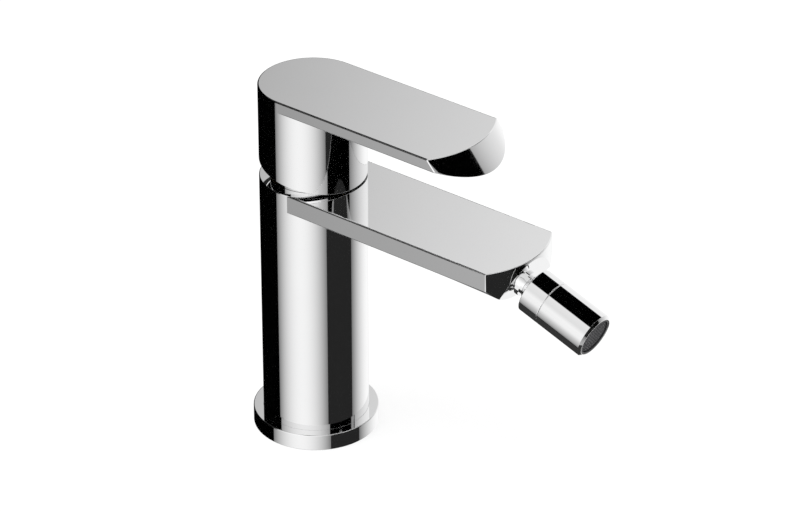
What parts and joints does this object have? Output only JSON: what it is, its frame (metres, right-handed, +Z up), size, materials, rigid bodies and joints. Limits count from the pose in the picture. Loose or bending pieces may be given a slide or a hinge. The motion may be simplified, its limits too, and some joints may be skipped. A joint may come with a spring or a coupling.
{
  "type": "bidet mixer",
  "caption": "Single-lever bidet mixer: round body on a base ring, flat straight spout with a swivelling nozzle below its end, flat lever on a hub.",
  "frame": {"origin": "centre of the base ring's underside, on the deck", "axes": "+Z up, +X along the spout towards the user, +Y to the user's right"},
  "size_m": [0.1783, 0.0546, 0.1647],
  "materials": {
    "chrome_body": "polished",
    "chrome_lever": "polished",
    "chrome_nozzle": "polished",
    "raw_brass": "satin",
    "steel": "satin",
    "black_rubber": "matte",
    "seal_rubber": "matte",
    "disc_ceramic": "satin",
    "white_plastic": "satin",
    "grey_plastic": "satin",
    "black_plastic": "satin",
    "red_plastic": "satin",
    "regulator_plastic": "satin",
    "plug_plastic": "gloss"
  },
  "bodies": {
    "root": {"base_ring": "chrome_body", "body": "chrome_body", "spout": "chrome_body", "collar": "chrome_body", "base_seal": "black_rubber", "port_seals": "seal_rubber", "disc_seals": "seal_rubber", "nipple_seal": "seal_rubber", "cartridge_nut": "raw_brass", "fixed_disc": "disc_ceramic", "cartridge_base": "grey_plastic", "cartridge_housing": "white_plastic", "limit_ring": "red_plastic", "ball_nipple": "chrome_nozzle"},
    "turn": {"stem_guide": "black_plastic", "stem_pin": "steel"},
    "lever": {"lever": "chrome_lever", "stem": "raw_brass", "lever_screw": "steel", "screw_plug": "plug_plastic"},
    "disc": {"moving_disc": "disc_ceramic", "disc_carrier": "black_plastic"},
    "seat": {"ball_seat": "white_plastic"},
    "aerator": {"swivel_sleeve": "chrome_nozzle", "aerator_housing": "chrome_nozzle", "flow_regulator": "regulator_plastic", "aerator_gasket": "seal_rubber", "aerator_insert": "black_plastic", "aerator_mesh": "steel"}
  },
  "joints": [
    {"name": "lever_turn", "type": "hinge", "parent": "root", "child": "turn", "pos_m": [0, 0, 0.12], "axis": [0, 0, 1], "range_deg": [-45, 45]},
    {"name": "lever_lift", "type": "hinge", "parent": "turn", "child": "lever", "pos_m": [0, 0, 0.12], "axis": [0, -1, 0], "range_deg": [0, 20]},
    {"name": "disc_slide", "type": "slide", "parent": "turn", "child": "disc", "axis": [1, 0, 0], "range_m": [0, 0.0038]},
    {"name": "aerator_tilt", "type": "hinge", "parent": "root", "child": "seat", "pos_m": [0.11961, 0, 0.10633], "axis": [0, 1, 0], "range_deg": [-15, 15]},
    {"name": "aerator_swing", "type": "hinge", "parent": "seat", "child": "aerator", "pos_m": [0.11961, 0, 0.10633], "axis": [0.3242, 0, 0.946], "range_deg": [-15, 15]}
  ],
  "couplings": [
    {"joint": "disc_slide", "follows": "lever_lift", "m_per_rad": 0.010778}
  ]
}
